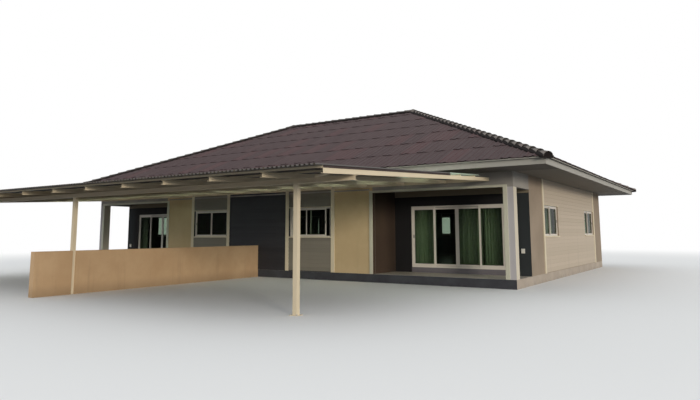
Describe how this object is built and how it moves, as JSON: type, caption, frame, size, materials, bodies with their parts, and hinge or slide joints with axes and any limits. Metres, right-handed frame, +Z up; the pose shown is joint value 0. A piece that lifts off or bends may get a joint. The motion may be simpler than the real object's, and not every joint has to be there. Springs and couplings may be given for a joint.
{
  "type": "mirrored twin bungalow with hip roof and carport",
  "caption": "Mirrored pair of single-storey homes under one hip roof, with corner porches, sliding glass doors and a lean-to steel carport.",
  "frame": {"origin": "on the ground at the middle of the house's plinth", "axes": "+Z up; -Y towards the street side with the carport; +X along the front to the right as seen from the street"},
  "size_m": [22.4844, 22.8357, 7.0449],
  "materials": {
    "plinth_concrete": "dark painted concrete, matt",
    "floor_tile": "glazed floor tile, satin",
    "beige_render": "painted render, matt",
    "charcoal_render": "painted render, matt",
    "cream_siding": "painted boards, matt",
    "white_trim": "painted trim, matt",
    "grey_render": "painted render, matt",
    "white_aluminium": "powder-coated aluminium, satin",
    "window_glass": "clear glass",
    "white_board": "painted board, matt",
    "fascia_paint": "painted board, matt",
    "roof_tile": "coloured concrete tile, matt",
    "cap_tile": "coloured concrete cap tile, matt",
    "cream_steel": "painted steel, semi-gloss",
    "dark_sheet": "coated steel sheet, semi-gloss",
    "clear_sheet": "see-through ribbed sheet, satin",
    "tan_render": "painted render, matt"
  },
  "bodies": {
    "house": {"plinth": "plinth_concrete", "room_floor": "floor_tile", "front_wall": "charcoal_render", "porch_return_walls": "charcoal_render", "walls_beside_doors": "charcoal_render", "walls_over_doors": "charcoal_render", "side_walls": "cream_siding", "back_wall": "cream_siding", "porch_columns": "white_trim", "porch_beams": "grey_render", "wall_bands": "white_trim", "porch_bands": "white_trim", "window_frames": "white_aluminium", "window_glass": "window_glass", "right_door_frame": "white_aluminium", "right_door_fixed_glass": "window_glass", "left_door_frame": "white_aluminium", "left_door_fixed_glass": "window_glass", "ceiling": "white_board", "front_and_back_soffits": "white_board", "side_soffits": "white_board", "front_and_back_fascias": "fascia_paint", "side_fascias": "fascia_paint", "roof_front": "roof_tile", "roof_back": "roof_tile", "roof_ends": "roof_tile", "ridge_cap": "cap_tile", "hip_caps": "cap_tile", "carport_posts": "cream_steel", "carport_beam": "cream_steel", "carport_wall_channel": "cream_steel", "carport_rafters": "cream_steel", "carport_purlins": "cream_steel", "carport_braces": "cream_steel", "carport_sheet": "dark_sheet", "carport_clear_sheet": "clear_sheet", "divider_wall": "tan_render"},
    "right_inner_leaf": {"right_door_inner_leaf": "white_aluminium", "right_door_inner_glass": "window_glass"},
    "right_outer_leaf": {"right_door_outer_leaf": "white_aluminium", "right_door_outer_glass": "window_glass"},
    "left_inner_leaf": {"left_door_inner_leaf": "white_aluminium", "left_door_inner_glass": "window_glass"},
    "left_outer_leaf": {"left_door_outer_leaf": "white_aluminium", "left_door_outer_glass": "window_glass"}
  },
  "joints": [
    {"name": "right_inner_slide", "type": "slide", "parent": "house", "child": "right_inner_leaf", "axis": [-1, 0, 0], "range_m": [0, 0.69]},
    {"name": "right_outer_slide", "type": "slide", "parent": "house", "child": "right_outer_leaf", "axis": [1, 0, 0], "range_m": [0, 0.69]},
    {"name": "left_inner_slide", "type": "slide", "parent": "house", "child": "left_inner_leaf", "axis": [1, 0, 0], "range_m": [0, 0.69]},
    {"name": "left_outer_slide", "type": "slide", "parent": "house", "child": "left_outer_leaf", "axis": [-1, 0, 0], "range_m": [0, 0.69]}
  ]
}
